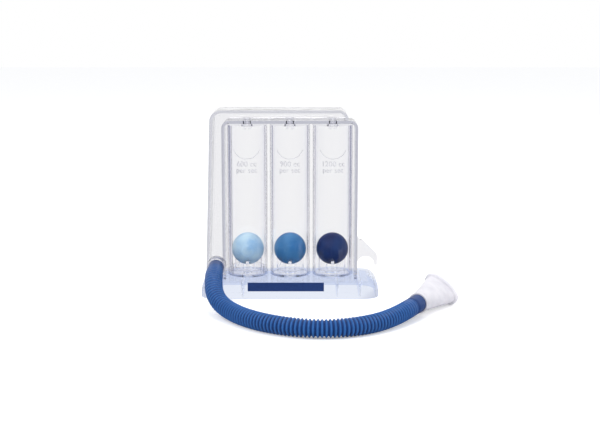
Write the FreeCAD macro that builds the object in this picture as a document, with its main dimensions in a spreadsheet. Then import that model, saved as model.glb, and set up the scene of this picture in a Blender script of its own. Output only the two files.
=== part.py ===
"""Incentive spirometer with three ball chambers, in millimetres.

Frame: origin at the centre of the base's underside, +Z up, the user's side towards -Y.
Air is drawn in under each ball, up its chamber, through the bush in its cap into the duct, down the
duct's leg on the left and out through the port, the hose and the mouthpiece.
"""
import FreeCAD, Part
import math
import os
import re

import Sketcher
from FreeCAD import Placement, Rotation, Vector

# Driving dimensions and the sizes that follow from them: name, value or formula, and what it measures.
SIZES = (
    ("bond_gap", 0.05, "play of a bonded joint, each side"),
    ("ball_size", 25.4, "diameter of a ball"),
    ("ball_wall", 0.8, "wall of the hollow ball"),
    ("ball_margin", 1.0, "between a ball and its chamber's wall"),
    ("ball_play", 0.2, "play between ball and fins, and under the stop"),
    ("tube_bore", "=ball_size + 2 * ball_margin", "bore of a chamber"),
    ("tube_wall", 2.1, "wall of a chamber"),
    ("tube_gap", 2.0, "between neighbouring chambers"),
    ("tube_proud", 0.8, "how far a chamber stands out of the rim, front and back"),
    ("chamber_pitch", "=tube_bore + 2 * tube_wall + tube_gap", "centre to centre of the chambers"),
    ("chamber_setback", 6.0, "chamber axes behind the base's centre"),
    ("side_gap", 1.2, "between a chamber and the rim beside it"),
    ("frame_wall", 2.4, "rim of the chamber block"),
    ("frame_half", "=chamber_pitch + tube_bore / 2 + tube_wall + side_gap + frame_wall", "half the chamber block"),
    ("frame_depth", "=tube_bore + 2 * (tube_wall - tube_proud)", "rim, front to back"),
    ("leg_foot", 13.3, "width of the duct's leg at the deck"),
    ("base_margin", 3.2, "base beyond the duct's leg, each end"),
    ("base_width", "=2 * (frame_half + leg_foot + base_margin)", "base, left to right at the skirt"),
    ("base_depth", 50.0, "base, front to back at the skirt"),
    ("base_height", 14.0, "top of the deck above the table"),
    ("base_wall", 1.8, "side walls of the base"),
    ("deck_thickness", 1.8, "deck of the base"),
    ("front_corner", 12.0, "plan radius of the base's front corners"),
    ("back_corner", 16.0, "plan radius of the base's back corners"),
    ("end_round", 8.5, "radius from the deck down to each end"),
    ("skirt_height", 5.2, "height of the skirt line"),
    ("skirt_step", 0.4, "how far the skirt stands proud"),
    ("rib_near_out", 3.2, "middle ribs outside the outer chambers' axes"),
    ("rib_near", "=chamber_pitch + rib_near_out", "middle ribs, from the centre line"),
    ("rib_far_out", 1.4, "outer ribs outside the rim"),
    ("rib_far", "=frame_half + rib_far_out", "outer ribs, from the centre line"),
    ("rib_root", 2.4, "thickness of a rib at the deck"),
    ("rib_foot", 1.2, "thickness of a rib at its foot"),
    ("rib_lift", 0.8, "foot of a rib above the table"),
    ("deck_inlet", 16.0, "air hole in the deck under each chamber"),
    ("collar_wall", 0.85, "wall of the collar round a chamber"),
    ("collar_height", 2.0, "height of that collar"),
    ("cap_thickness", 2.0, "closed top of a chamber"),
    ("block_top", 137.5, "top of the chamber block"),
    ("frame_corner", 6.0, "outer corner radius of the rim"),
    ("web_thickness", 2.4, "web and clip plate"),
    ("tab_width", 9.0, "foot tab of the rim, front to back"),
    ("tab_length", 2.6, "foot tab below the deck's top"),
    ("tab_pitch", 17.0, "foot tabs, centre to centre"),
    ("hose_outer", 13.6, "hose over its ribs"),
    ("hose_bore", 10.4, "bore of the hose"),
    ("hose_lead", 11.5, "level run out of the port before the hose bends"),
    ("clip_play", 0.1, "play of the stowed hose in its clip and above the deck"),
    ("clip_bore", "=hose_outer + 2 * clip_play", "round seat of the hose clip"),
    ("clip_out", 7.3, "centre of that seat from the rim"),
    ("clip_height", "=base_height + hose_outer / 2 + clip_play", "centre of that seat above the table"),
    ("clip_top", 44.6, "where the clip plate leaves the rim"),
    ("clip_reach", 16.5, "tip of the clip from the rim"),
    ("clip_slant", 29.3, "upper corner of the clip's tip above the table"),
    ("clip_step", 1.0, "notch where the clip's slant starts"),
    ("clip_nose", 3.0, "radius from the slant to the nose"),
    ("clip_edge", 0.9, "radius of the nose's lower end"),
    ("clip_tip", 20.6, "lower end of the nose"),
    ("duct_rise", 8.0, "duct's arm above the chamber block"),
    ("duct_wall", 2.4, "walls of the duct"),
    ("leg_head", 9.0, "width of the duct's leg at the top"),
    ("arm_overrun", 11.9, "duct's arm beyond the right chamber's axis"),
    ("arm_reach", "=chamber_pitch + arm_overrun", "right end of the duct's arm"),
    ("duct_corner", 9.0, "outer radius over the leg"),
    ("arm_corner", 7.4, "outer radius at the arm's end"),
    ("cover_thickness", 2.0, "back cover of the duct"),
    ("lip_height", 1.5, "locating lip inside the back cover"),
    ("lip_wall", 1.2, "thickness of that lip"),
    ("port_offset", 4.5, "port's axis from the rim"),
    ("port_out", "=frame_half + port_offset", "port's axis from the centre line"),
    ("port_height", 23.8, "port's axis above the table"),
    ("port_reach", 10.0, "length of the port's collar"),
    ("port_wall", 1.2, "wall of the port's collar"),
    ("port_stop", 1.5, "shoulder that stops the cuff"),
    ("port_throat", 8.8, "hole from the port into the duct"),
    ("seat_floor", 1.2, "floor of a ball seat"),
    ("ball_float", 6.3, "resting ball above that floor"),
    ("ball_rest", "=base_height + seat_floor + ball_float + ball_size / 2", "centre of a resting ball"),
    ("seat_play", 0.1, "play of a seat in its chamber, each side"),
    ("fin_width", 2.4, "thickness of a seat fin"),
    ("fin_near", 4.5, "inner radius of the fins"),
    ("fin_margin", 1.5, "between the fins and the chamber's wall"),
    ("fin_out", "=tube_bore / 2 - fin_margin", "outer radius of the fins"),
    ("fin_top", 28.4, "tip of the fins above the table"),
    ("fin_shoulder", 26.4, "where a fin starts to narrow to its tip"),
    ("inlet_left", 8.0, "air inlet of the 600 chamber"),
    ("inlet_middle", 10.0, "air inlet of the 900 chamber"),
    ("inlet_right", 12.0, "air inlet of the 1200 chamber"),
    ("ring_height", 5.4, "flow ring above the seat floor"),
    ("ring_wall", 1.0, "wall of the flow ring"),
    ("stop_outer", 6.5, "diameter of a stop bush"),
    ("stop_bore", 3.4, "air passage of a stop bush"),
    ("stop_flange", 9.4, "flange under the cap"),
    ("flange_thickness", 1.0, "thickness of that flange"),
    ("stop_drop", 3.6, "stop below the cap"),
    ("stop_head", 1.2, "bush above the block"),
    ("slot_width", 1.4, "air slot across the stop"),
    ("slot_depth", 1.8, "depth of that slot"),
    ("label_left", 32.8, "label's left end from the centre line"),
    ("label_width", 59.3, "label, left to right"),
    ("label_low", 6.1, "label's lower edge above the table"),
    ("label_height", 6.9, "label, bottom to top"),
    ("label_thickness", 0.3, "thickness of the label"),
    ("label_recess", 0.25, "recess that the label lies in"),
    ("cuff_outer", 12.2, "plain end of the hose"),
    ("cuff_bore", 9.4, "bore of the plain end"),
    ("cuff_play", 0.05, "running play of the cuff in its socket, each side"),
    ("end_play", 0.2, "play between the cuff's end and its shoulder"),
    ("cuff_neck", 13.0, "plain end of the hose between its ribs and its socket"),
    ("socket_wall", 1.7, "mouthpiece wall round the cuff"),
    ("socket_depth", 12.0, "depth of the mouthpiece's socket"),
    ("socket_stop", 1.2, "shoulder that stops the cuff"),
    ("mouth_length", 44.0, "mouthpiece, end to end"),
    ("mouth_width", 28.0, "flared end, wide"),
    ("mouth_height", 13.0, "flared end, high"),
    ("mouth_wall", 1.5, "wall of the flared part"),
    ("mouth_waist", 1.0, "how much the flare draws in halfway"),
    ("lip_flange", 1.5, "how far the mouth's rim stands out"),
    ("rim_thickness", 2.4, "thickness of that rim"),
    ("mouth_roll", 36.0, "turn of the mouthpiece about its axis, degrees"),
)

# The hose's route after its level run out of the port, chosen to lie as it does in use. Its plan distances
# are from the hose's first rib and its heights are above the table.
HOSE_ROUTE = (
    (0.3, -24.0, 20.6),
    (1.7, -35.5, 15.0),
    (6.9, -47.5, 9.9),
    (15.7, -60.4, 7.3),
    (26.3, -75.5, 6.9),
    (41.1, -90.6, 6.9),
    (60.5, -101.8, 6.9),
    (82.0, -106.0, 6.9),
    (103.5, -101.0, 6.9),
    (122.0, -88.0, 6.9),
    (137.3, -70.2, 8.1),
    (145.8, -55.5, 8.95),
)
ARC_SHARE = 0.45

LEFT, MIDDLE, RIGHT = -1, 0, 1
CHAMBERS = (("left", LEFT), ("middle", MIDDLE), ("right", RIGHT))
WEBS = (("left", LEFT), ("right", RIGHT))
FOOT_TABS = ((-1, -1), (-1, 1), (1, -1), (1, 1))

doc = FreeCAD.newDocument("incentive_spirometer")
sheet = doc.addObject("Spreadsheet::Sheet", "sizes")
for row, (alias, size, meaning) in enumerate(SIZES, start=1):
    sheet.set(f"A{row}", meaning)
    sheet.set(f"B{row}", str(size))
    sheet.setAlias(f"B{row}", alias)
doc.recompute()
NAMES = {alias for alias, _, _ in SIZES}
parts = {}


def value(formula):
    """The number that a formula of sheet names gives."""
    return float(sheet.evalExpression(formula))


def linked(formula):
    """The formula with each sheet name written the way another object reads it."""
    return re.sub(r"[a-z_]+", lambda m: f"sizes.{m.group()}" if m.group() in NAMES else m.group(), formula)


def bind(item, **formulas):
    """Ties properties to formulas of sheet names; __ stands for the dot in a property's path."""
    for name, formula in formulas.items():
        item.setExpression(name.replace("__", "."), linked(formula))
    return item


def put(item, x="0", y="0", z="0"):
    """Ties an object's place to formulas."""
    return bind(item, Placement__Base__x=x, Placement__Base__y=y, Placement__Base__z=z)


def cylinder(name, diameter, height, x="0", y="0", z="0", forward=False):
    """A cylinder that rises from its place, or with forward runs from it towards -Y."""
    item = doc.addObject("Part::Cylinder", name)
    if forward:
        item.Placement = Placement(Vector(), Rotation(Vector(1, 0, 0), 90))
    bind(item, Radius=f"({diameter}) / 2", Height=height)
    return put(item, x, y, z)


def box(name, length, width, height, x="0", y="0", z="0"):
    """A box whose middle in x and y, and whose underside in z, are given."""
    item = doc.addObject("Part::Box", name)
    bind(item, Length=length, Width=width, Height=height)
    return put(item, f"({x}) - ({length}) / 2", f"({y}) - ({width}) / 2", z)


def sphere(name, diameter, x="0", y="0", z="0"):
    item = doc.addObject("Part::Sphere", name)
    bind(item, Radius=f"({diameter}) / 2")
    return put(item, x, y, z)


def fuse(name, *shapes):
    item = doc.addObject("Part::MultiFuse", name)
    item.Shapes = list(shapes)
    item.Refine = True
    return item


def cut(name, base, *tools):
    item = doc.addObject("Part::Cut", name)
    item.Base = base
    item.Tool = tools[0] if len(tools) == 1 else fuse(f"{name}_cuts", *tools)
    item.Refine = True
    return item


def common(name, *shapes):
    item = doc.addObject("Part::MultiCommon", name)
    item.Shapes = list(shapes)
    return item


def tangent_points(before, corner, after, radius):
    """Where a round of this radius leaves the two edges of a corner, and its middle point."""
    to_before = (before - corner).normalize()
    to_after = (after - corner).normalize()
    half = to_before.getAngle(to_after) / 2
    reach = radius / math.tan(half)
    inward = (to_before + to_after).normalize()
    middle = corner + inward * (radius / math.sin(half) - radius)
    return corner + to_before * reach, middle, corner + to_after * reach


def round_ends(before, corner, after, radius):
    """Formulas of the two points where a round of this radius meets the edges of its corner."""
    (ax, ay), (bx, by) = (tuple(f"(({end[k]}) - ({corner[k]}))" for k in (0, 1)) for end in (before, after))
    a_length, b_length = f"sqrt({ax} ^ 2 + {ay} ^ 2)", f"sqrt({bx} ^ 2 + {by} ^ 2)"
    cosine = f"(({ax} * {bx} + {ay} * {by}) / ({a_length} * {b_length}))"
    reach = f"({radius}) * sqrt((1 + {cosine}) / (1 - {cosine}))"
    return tuple(
        (f"({corner[0]}) + {reach} * {x} / {length}", f"({corner[1]}) + {reach} * {y} / {length}")
        for x, y, length in ((ax, ay, a_length), (bx, by, b_length))
    )


def pin(sketch, geometry, end, x, y):
    """Ties one point of a sketch to formulas for its coordinates."""
    for kind, formula in (("DistanceX", x), ("DistanceY", y)):
        name = f"{kind}_{geometry}_{end}"
        index = sketch.addConstraint(Sketcher.Constraint(kind, -1, 1, geometry, end, value(formula)))
        sketch.renameConstraint(index, name)
        sketch.setExpression(f"Constraints.{name}", linked(formula))


def point(x, y):
    return Vector(value(x), value(y), 0)


def draw(sketch, corners):
    """A closed outline: each corner is (x, y) or (x, y, radius), given as formulas.

    The ends of every edge are tied to formulas, and each round joins two of them as an arc whose
    radius is tied to its own formula and which is tangent to both edges. A sketch arc runs to the left
    from its first end, so a round that turns right is drawn from its far end.
    """
    count = len(corners)
    ends = [
        round_ends(corners[i - 1], corners[i], corners[(i + 1) % count], corners[i][2])
        if len(corners[i]) > 2 else (corners[i], corners[i])
        for i in range(count)
    ]
    edges = []
    for i in range(count):
        start, end = ends[i][1], ends[(i + 1) % count][0]
        edge = sketch.addGeometry(Part.LineSegment(point(*start[:2]), point(*end[:2])), False)
        pin(sketch, edge, 1, *start[:2])
        edges.append(edge)
    for i, corner in enumerate(corners):
        before, after = edges[i - 1], edges[i]
        if len(corner) == 2:
            sketch.addConstraint(Sketcher.Constraint("Coincident", before, 2, after, 1))
            continue
        arrive, leave = (point(*end) for end in ends[i])
        pin(sketch, before, 2, *ends[i][0])
        far_before, far_after = (point(*corners[(i + step) % count][:2]) for step in (-1, 1))
        middle = tangent_points(far_before, point(*corner[:2]), far_after, value(corner[2]))[1]
        leftward = (middle - arrive).cross(leave - middle).z > 0
        near, far = (1, 2) if leftward else (2, 1)
        arc = sketch.addGeometry(Part.Arc(*((arrive, middle, leave) if leftward else (leave, middle, arrive))), False)
        sketch.addConstraint(Sketcher.Constraint("Coincident", before, 2, arc, near))
        sketch.addConstraint(Sketcher.Constraint("Coincident", arc, far, after, 1))
        index = sketch.addConstraint(Sketcher.Constraint("Radius", arc, value(corner[2])))
        sketch.renameConstraint(index, f"round_{arc}")
        sketch.setExpression(f"Constraints.round_{arc}", linked(corner[2]))
    return sketch


def ring(sketch, x, y, diameter):
    """A circle tied to formulas for its centre and its diameter."""
    circle = sketch.addGeometry(Part.Circle(point(x, y), Vector(0, 0, 1), value(diameter) / 2))
    pin(sketch, circle, 3, x, y)
    index = sketch.addConstraint(Sketcher.Constraint("Diameter", circle, value(diameter)))
    sketch.renameConstraint(index, f"diameter_{circle}")
    sketch.setExpression(f"Constraints.diameter_{circle}", linked(diameter))
    return sketch


def upright(name, corners, depth, y="0"):
    """An outline in the x-z plane, extruded by the depth towards +Y from the given y."""
    return extrusion(name, corners, depth, Rotation(Vector(1, 0, 0), 90), Vector(0, 1, 0), y=y)


def flat(name, corners, height, z="0"):
    """An outline in the x-y plane, extruded upwards by the height from the given z."""
    return extrusion(name, corners, height, Rotation(), Vector(0, 0, 1), z=z)


def extrusion(name, corners, length, turn, direction, y="0", z="0"):
    sketch = doc.addObject("Sketcher::SketchObject", f"{name}_outline")
    sketch.Placement = Placement(Vector(), turn)
    draw(sketch, corners)
    item = doc.addObject("Part::Extrusion", name)
    item.Base = sketch
    item.DirMode = "Custom"
    item.Dir = direction
    item.Solid = True
    bind(item, LengthFwd=length)
    return put(item, y=y, z=z)


def new_body(name):
    return doc.addObject("PartDesign::Body", name)


def origin_part(body, role):
    """One of the body's own origin planes or axes."""
    return next(item for item in body.Origin.OriginFeatures if item.Role == role)


def body_sketch(body, name, role, level="0"):
    """A sketch on one of the body's own origin planes, moved along that plane's normal."""
    sketch = body.newObject("Sketcher::SketchObject", name)
    sketch.AttachmentSupport = [(origin_part(body, role), "")]
    sketch.MapMode = "FlatFace"
    sketch.setExpression("AttachmentOffset.Base.z", linked(level))
    return sketch


def extrude(body, kind, name, sketch, length, reverse=False):
    """A Pad or a Pocket of a sketch, and a check that it changed the body's volume the right way."""
    doc.recompute()
    before = body.Shape.Volume if body.Tip else 0.0
    feature = body.newObject(f"PartDesign::{kind}", name)
    feature.Profile = sketch
    feature.Reversed = reverse
    feature.setExpression("Length", linked(length))
    doc.recompute()
    change = feature.Shape.Volume - before
    if change * (1 if kind == "Pad" else -1) < 1:
        raise RuntimeError(f"{name} leaves the volume at {feature.Shape.Volume:.1f}")
    return feature


def turned(name, corners):
    """A body made by turning an outline of radius and height about the z axis."""
    body = new_body(f"{name}_body")
    outline = draw(body_sketch(body, f"{name}_profile", "XZ_Plane"), corners)
    feature = body.newObject("PartDesign::Revolution", f"{name}_turn")
    feature.Profile = outline
    feature.ReferenceAxis = (outline, ["V_Axis"])
    feature.Angle = 360
    doc.recompute()
    return body


def finish(name, item):
    """Names a sub-part, which is written under this name."""
    item.Label = name
    parts[name] = item
    return item


def chamber_x(side):
    return f"({side}) * chamber_pitch"


def plan(inset):
    """The base's plan outline, moved in by the inset."""
    x, y = f"base_width / 2 - ({inset})", f"base_depth / 2 - ({inset})"
    back, front = f"back_corner - ({inset})", f"front_corner - ({inset})"
    return ((f"-({x})", y, back), (f"-({x})", f"-({y})", front), (x, f"-({y})", front), (x, y, back))


def elevation(inset, top):
    """The base's front outline with its rounded ends, moved in by the inset."""
    x, curve = f"base_width / 2 - ({inset})", f"end_round - ({inset})"
    return ((f"-({x})", "0"), (x, "0"), (x, top, curve), (f"-({x})", top, curve))


def base_shell():
    """Tray open underneath: rounded ends, proud skirt, tapered ribs, collars and slots for the rim."""
    full_depth, front = "base_depth", "-base_depth / 2"
    outside = common(
        "tray_outside",
        fuse("tray_block", flat("skirt", plan("0"), "skirt_height"), flat("upper", plan("skirt_step"), "base_height")),
        upright("tray_ends", elevation("0", "base_height"), full_depth, front),
    )
    wall = "base_wall + skirt_step"
    inside = common(
        "tray_inside",
        flat("hollow", plan(wall), "base_height"),
        upright("hollow_ends", elevation(wall, "base_height - deck_thickness"), full_depth, front),
    )
    buried = "base_height - deck_thickness / 2"
    solids, holes = [cut("tray", outside, inside)], []
    for index, place in enumerate(("-rib_far", "-rib_near", "rib_near", "rib_far")):
        corners = (
            (f"{place} - rib_foot / 2", "rib_lift"), (f"{place} + rib_foot / 2", "rib_lift"),
            (f"{place} + rib_root / 2", buried), (f"{place} - rib_root / 2", buried),
        )
        run = "base_depth - base_wall - 2 * skirt_step"
        solids.append(upright(f"rib_{index}", corners, run, f"-({run}) / 2"))
    across = "tube_bore + 2 * (tube_wall + bond_gap)"
    for name, side in CHAMBERS:
        where = (chamber_x(side), "chamber_setback")
        solids.append(cylinder(f"collar_{name}", f"{across} + 2 * collar_wall",
                               "collar_height + deck_thickness / 2", *where, buried))
        holes.append(cylinder(f"collar_bore_{name}", across, "2 * collar_height", *where, "base_height"))
        holes.append(cylinder(f"deck_inlet_{name}", "deck_inlet", "2 * deck_thickness", *where,
                              "base_height - deck_thickness"))
    for index, (side, fore) in enumerate(FOOT_TABS):
        holes.append(foot_tab(f"tab_slot_{index}", side, fore, "bond_gap"))
    holes.append(box("label_pocket", "label_width + 2 * bond_gap", "2 * label_recess", "label_height + 2 * bond_gap",
                     "label_width / 2 - label_left", "skirt_step - base_depth / 2", "label_low - bond_gap"))
    return finish("base_shell", cut("base_moulding", fuse("tray_and_collars", *solids), *holes))


def foot_tab(name, side, fore, play):
    """A tab of the rim through the deck, or with play its slot."""
    return box(name, f"frame_wall + 2 * {play}", f"tab_width + 2 * {play}", "2 * tab_length",
               f"({side}) * (frame_half - frame_wall / 2)", f"chamber_setback + ({fore}) * tab_pitch / 2",
               "base_height - tab_length")


def chamber_tube(name, side):
    """A clear tube that stands in its collar, closed by a cap with a hole for the stop bush."""
    bore, outside, height = "tube_bore / 2", "tube_bore / 2 + tube_wall", "block_top - frame_wall - base_height"
    hole = "stop_outer / 2 + bond_gap"
    tube = turned(f"tube_{name}", (
        (bore, "0"), (outside, "0"), (outside, height), (hole, height),
        (hole, f"{height} - cap_thickness"), (bore, f"{height} - cap_thickness"),
    ))
    put(tube, chamber_x(side), "chamber_setback", "base_height")
    return finish(f"chamber_tube_{name}", tube)


def ball_stop(name, side):
    """Hollow bush through the cap into the duct, with a slotted foot that stops the ball."""
    bore, outside, flange = "stop_bore / 2", "stop_outer / 2", "stop_flange / 2"
    cap = "stop_drop"
    top = f"{cap} + cap_thickness + frame_wall + stop_head"
    bush = turned(f"bush_{name}", (
        (bore, "0"), (outside, "0"), (outside, f"{cap} - flange_thickness"), (flange, f"{cap} - flange_thickness"),
        (flange, cap), (outside, cap), (outside, top), (bore, top),
    ))
    slots = [
        box(f"slot_{name}_{index}", length, width, "2 * slot_depth", z="-slot_depth")
        for index, (length, width) in enumerate((("2 * stop_outer", "slot_width"), ("slot_width", "2 * stop_outer")))
    ]
    stop = cut(f"slotted_bush_{name}", bush, *slots)
    put(stop, chamber_x(side), "chamber_setback", "block_top - frame_wall - cap_thickness - stop_drop")
    return finish(f"ball_stop_{name}", stop)


def ball_seat(name, side):
    """Floor with the air inlet and three pointed fins whose tops follow the ball."""
    rim, inlet = "tube_bore / 2 - seat_play", f"inlet_{name} / 2"
    body = turned(f"seat_{name}", ((inlet, "0"), (rim, "0"), (rim, "seat_floor"), (inlet, "seat_floor")))
    half, shoulder = "fin_width / 2", "fin_shoulder - base_height"
    sketch = body_sketch(body, f"fin_face_{name}", "XZ_Plane", "fin_out")
    draw(sketch, ((f"-{half}", "seat_floor / 2"), (half, "seat_floor / 2"), (half, shoulder),
                  ("0", "fin_top - base_height"), (f"-{half}", shoulder)))
    fin = extrude(body, "Pad", f"fin_{name}", sketch, "fin_out - fin_near", reverse=True)
    fins = body.newObject("PartDesign::PolarPattern", f"fins_{name}")
    fins.Originals = [fin]
    fins.Axis = (origin_part(body, "Z_Axis"), [""])
    fins.Angle = 360
    fins.Occurrences = 3
    body.Tip = fins
    room = sphere(f"ball_room_{name}", "ball_size + 2 * ball_play", z="ball_rest - base_height")
    seat = cut(f"hollowed_seat_{name}", body, room)
    put(seat, chamber_x(side), "chamber_setback", "base_height")
    return finish(f"ball_seat_{name}", seat)


def ball(name, side):
    """Light hollow ball."""
    where = (chamber_x(side), "chamber_setback", "ball_rest")
    skin = sphere(f"ball_skin_{name}", "ball_size", *where)
    core = sphere(f"ball_core_{name}", "ball_size - 2 * ball_wall", *where)
    return finish(f"ball_{name}", cut(f"hollow_ball_{name}", skin, core))


def flow_ring():
    """Thin ring round the fins on the left seat's floor."""
    outer, inner = "fin_out + ball_play / 2 + ring_wall", "fin_out + ball_play / 2"
    item = turned("ring_left", ((inner, "0"), (outer, "0"), (outer, "ring_height"), (inner, "ring_height")))
    put(item, chamber_x(LEFT), "chamber_setback", "base_height + seat_floor")
    return finish("flow_ring_left", item)


def clip_plate():
    """Plate to the right of the rim, slanted above and open towards the right below its round seat."""
    step_x, step_z = "frame_half + 2.8 * clip_step", "clip_top - 3.6 * clip_step"
    tip = "frame_half + clip_reach"
    plate = upright("clip_blank", (
        ("frame_half - frame_wall / 2", "clip_top"), ("frame_half", "clip_top"), (step_x, step_z),
        (f"{step_x} + clip_step", f"{step_z} + clip_step"),
        (tip, "clip_slant", "clip_nose"), (tip, "clip_tip", "clip_edge"), ("frame_half - frame_wall / 2", "clip_tip"),
    ), "web_thickness", "chamber_setback - web_thickness / 2")
    seat = cylinder("clip_seat", "clip_bore", "4 * web_thickness", "frame_half + clip_out",
                    "chamber_setback + 2 * web_thickness", "clip_height", forward=True)
    return cut("clip", plate, seat)


def web_blank(name, width, x="0"):
    """A block in the web's plane, from just above the collars to the rim's underside."""
    foot = "base_height + collar_height + bond_gap"
    return box(name, width, "web_thickness", f"block_top - frame_wall - ({foot})", x, "chamber_setback", foot)


def tube_rooms(name):
    """The space that the three chambers take up."""
    return [
        cylinder(f"{name}_tube_room_{chamber}", "tube_bore + 2 * (tube_wall + bond_gap)", "block_top - frame_wall",
                 chamber_x(side), "chamber_setback")
        for chamber, side in CHAMBERS
    ]


def chamber_web(name, side):
    """Web between two neighbouring chambers, hollowed to both."""
    web = web_blank(f"web_blank_{name}", "2 * tube_gap", f"({side}) * chamber_pitch / 2")
    return finish(f"chamber_web_{name}", cut(f"web_{name}", web, *tube_rooms(f"web_{name}")))


def body_frame():
    """Deep rim round the chambers with a web at either side of them, foot tabs and the hose clip."""
    depth, front = "frame_depth", "chamber_setback - frame_depth / 2"
    inner_x, inner_z = "frame_half - frame_wall", "block_top - frame_wall"
    inner_round = "frame_corner - frame_wall"
    outer = upright("rim_outside", (
        ("-frame_half", "base_height"), ("frame_half", "base_height"),
        ("frame_half", "block_top", "frame_corner"), ("-frame_half", "block_top", "frame_corner"),
    ), depth, front)
    inner = upright("rim_inside", (
        (f"-({inner_x})", "base_height / 2"), (inner_x, "base_height / 2"),
        (inner_x, inner_z, inner_round), (f"-({inner_x})", inner_z, inner_round),
    ), depth, front)
    webs = cut("side_webs", web_blank("web_plane", f"2 * ({inner_x}) + frame_wall"),
               web_blank("web_middle", "2 * chamber_pitch"))
    outlets = [
        cylinder(f"outlet_{name}", "stop_outer + 2 * bond_gap", "4 * frame_wall",
                 chamber_x(side), "chamber_setback", "block_top - 2 * frame_wall")
        for name, side in CHAMBERS
    ]
    tabs = [foot_tab(f"tab_{index}", side, fore, "0") for index, (side, fore) in enumerate(FOOT_TABS)]
    rim = cut("rim", outer, inner)
    frame = fuse("frame_blank", rim, webs, clip_plate(), *tabs)
    return finish("body_frame", cut("frame", frame, *tube_rooms("frame"), *outlets))


def duct_outline():
    """Front outline of the duct: its leg on the left and its arm over the block."""
    foot, top = "base_height - end_round / 2", "block_top + duct_rise"
    return (
        ("-(frame_half + leg_foot)", foot), ("-frame_half", foot), ("-frame_half", "block_top", "frame_corner"),
        ("arm_reach", "block_top"), ("arm_reach", top, "arm_corner"), ("-(frame_half + leg_head)", top, "duct_corner"),
    )


def duct_passage(inset):
    """Outline of the passage within the duct's outer walls and the block, moved in by the inset."""
    wall = f"(duct_wall + {inset})"
    right, top, floor = f"arm_reach - {wall}", f"block_top + duct_rise - {wall}", f"base_height + {wall}"
    inner_x, inner_z = f"-(frame_half + {inset})", f"block_top + {inset}"
    arm_round = f"min(arm_corner - {wall}; 0.9 * (duct_rise - duct_wall - 2 * {inset}))"
    return (
        (f"-(frame_half + leg_foot) + {wall}", floor), (inner_x, floor),
        (inner_x, inner_z, f"frame_corner + {inset}"), (right, inner_z), (right, top, arm_round),
        (f"-(frame_half + leg_head) + {wall}", top, f"duct_corner - {wall}"),
    )


def manifold_duct():
    """Channel with a front wall and outer walls, closed by the block inside and the cover behind."""
    body = new_body("duct")
    front = "frame_depth / 2 - chamber_setback"
    outline = draw(body_sketch(body, "duct_face", "XZ_Plane", front), duct_outline())
    extrude(body, "Pad", "duct_block", outline, "frame_depth - cover_thickness", reverse=True)
    passage = draw(body_sketch(body, "passage_face", "XZ_Plane", f"{front} - duct_wall"), duct_passage("0"))
    extrude(body, "Pocket", "passage", passage, "frame_depth")
    throat = ring(body_sketch(body, "throat_face", "XZ_Plane", front), "-port_out", "port_height", "port_throat")
    extrude(body, "Pocket", "throat", throat, "2 * duct_wall")
    ends = draw(body_sketch(body, "base_line", "XZ_Plane", front), elevation("0", "base_height"))
    extrude(body, "Pocket", "foot", ends, "frame_depth")
    return finish("manifold_duct", body)


def manifold_back_cover():
    """Plate over the open back of the duct with a lip that locates in the passage."""
    body = new_body("cover")
    back = "-(chamber_setback + frame_depth / 2)"
    outline = draw(body_sketch(body, "cover_face", "XZ_Plane", back), duct_outline())
    extrude(body, "Pad", "cover_plate", outline, "cover_thickness")
    lip = body_sketch(body, "lip_face", "XZ_Plane", f"{back} + cover_thickness")
    draw(lip, duct_passage("bond_gap"))
    draw(lip, duct_passage("(bond_gap + lip_wall)"))
    extrude(body, "Pad", "lip", lip, "lip_height")
    ends = draw(body_sketch(body, "cover_base_line", "XZ_Plane", f"{back} + cover_thickness + lip_height"),
                elevation("0", "base_height"))
    extrude(body, "Pocket", "cover_foot", ends, "frame_depth")
    return finish("manifold_back_cover", body)


def hose_port():
    """Collar on the duct's foot with a socket for the cuff and a shoulder that stops it."""
    socket, throat = "cuff_outer / 2 + cuff_play", "port_throat / 2"
    outside = f"{socket} + port_wall"
    item = turned("port", ((throat, "0"), (outside, "0"), (outside, "port_reach"), (socket, "port_reach"),
                           (socket, "port_stop"), (throat, "port_stop")))
    item.Placement = Placement(Vector(), Rotation(Vector(1, 0, 0), 90))
    put(item, "-port_out", "chamber_setback - frame_depth / 2", "port_height")
    return finish("hose_port", item)


def label_strip():
    """Thin strip that lies in the base's front recess."""
    strip = box("strip", "label_width", "label_thickness", "label_height", "label_width / 2 - label_left",
                "skirt_step + label_recess - (base_depth + label_thickness) / 2", "label_low")
    return finish("label_strip", strip)


def hose_route():
    """The route's points in place, from the hose's first rib in front of the port."""
    front = "chamber_setback - frame_depth / 2 - port_reach - cuff_neck"
    level = Vector(0, 0, value("port_height"))
    first = Vector(value("-port_out"), value(front), 0)
    lead = Vector(0, -value("hose_lead"), 0)
    return [first + level, first + lead + level, *(first + Vector(*place) for place in HOSE_ROUTE)]


def hose_path(route):
    """Straight runs joined by tangent arcs, and the arcs' radii."""
    edges, radii = [], []
    start = route[0]
    for before, corner, after in zip(route, route[1:], route[2:]):
        shorter = min((corner - before).Length, (after - corner).Length)
        half_turn = (corner - before).getAngle(after - corner) / 2
        radius = ARC_SHARE * shorter / math.tan(half_turn)
        radii.append(radius)
        leave, middle, join = tangent_points(before, corner, after, radius)
        edges.append(Part.LineSegment(start, leave).toShape())
        edges.append(Part.Arc(leave, middle, join).toShape())
        start = join
    edges.append(Part.LineSegment(start, route[-1]).toShape())
    return Part.Wire(edges), radii


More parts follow.
